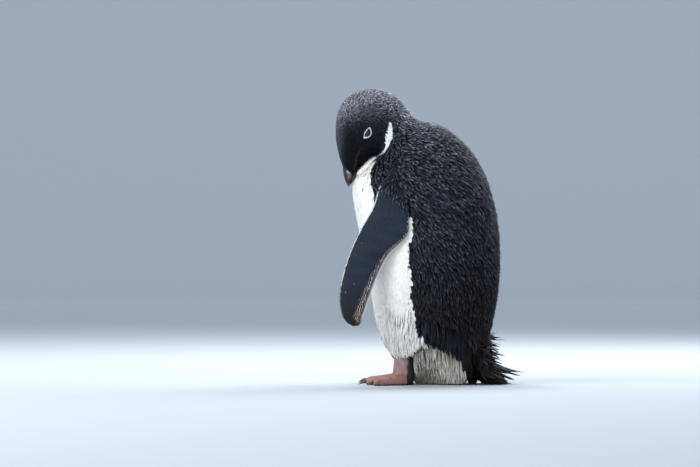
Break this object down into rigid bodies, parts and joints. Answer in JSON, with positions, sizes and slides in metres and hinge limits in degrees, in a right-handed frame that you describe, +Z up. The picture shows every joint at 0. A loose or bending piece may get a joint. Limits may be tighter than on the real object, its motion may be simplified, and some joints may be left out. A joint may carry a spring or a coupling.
{
  "type": "adelie penguin",
  "caption": "Life-size standing penguin with a black back, white front, bent head, short half-feathered bill, hanging flippers, pink webbed feet and a ragged brush tail.",
  "frame": {"origin": "on the floor, under the middle of the figure's box", "axes": "+Z up; the bird faces -X, its left side is towards -Y, and the XZ plane is its plane of symmetry"},
  "size_m": [0.3041, 0.1964, 0.4718],
  "materials": {
    "black_plumage": "soft overlapping blue-black feathers with paler slate tips",
    "white_plumage": "soft dense white feathers, shaggy at the lower edge",
    "flipper_plumage": "short tight slate-black feathers with a satin sheen",
    "tail_quills": "stiff narrow brown-black feathers",
    "pink_skin": "fine-scaled pink skin with a soft sheen, dark on the soles",
    "bill_horn": "smooth dark red-brown horn with a black ridge and tip",
    "claw_horn": "smooth dark brown horn",
    "eye_gloss": "wet gloss, dark brown"
  },
  "bodies": {
    "root": {"trunk": "white_plumage", "neck": "black_plumage", "head": "black_plumage", "bill_upper": "bill_horn", "bill_lower": "bill_horn", "tail": "tail_quills", "eye_left": "eye_gloss", "eye_right": "eye_gloss", "flipper_left": "flipper_plumage", "flipper_right": "flipper_plumage", "leg_left": "pink_skin", "leg_right": "pink_skin", "foot_left": "pink_skin", "foot_right": "pink_skin", "claw_inner_left": "claw_horn", "claw_inner_right": "claw_horn", "claw_middle_left": "claw_horn", "claw_middle_right": "claw_horn", "claw_outer_left": "claw_horn", "claw_outer_right": "claw_horn", "claw_hind_left": "claw_horn", "claw_hind_right": "claw_horn"}
  },
  "joints": []
}
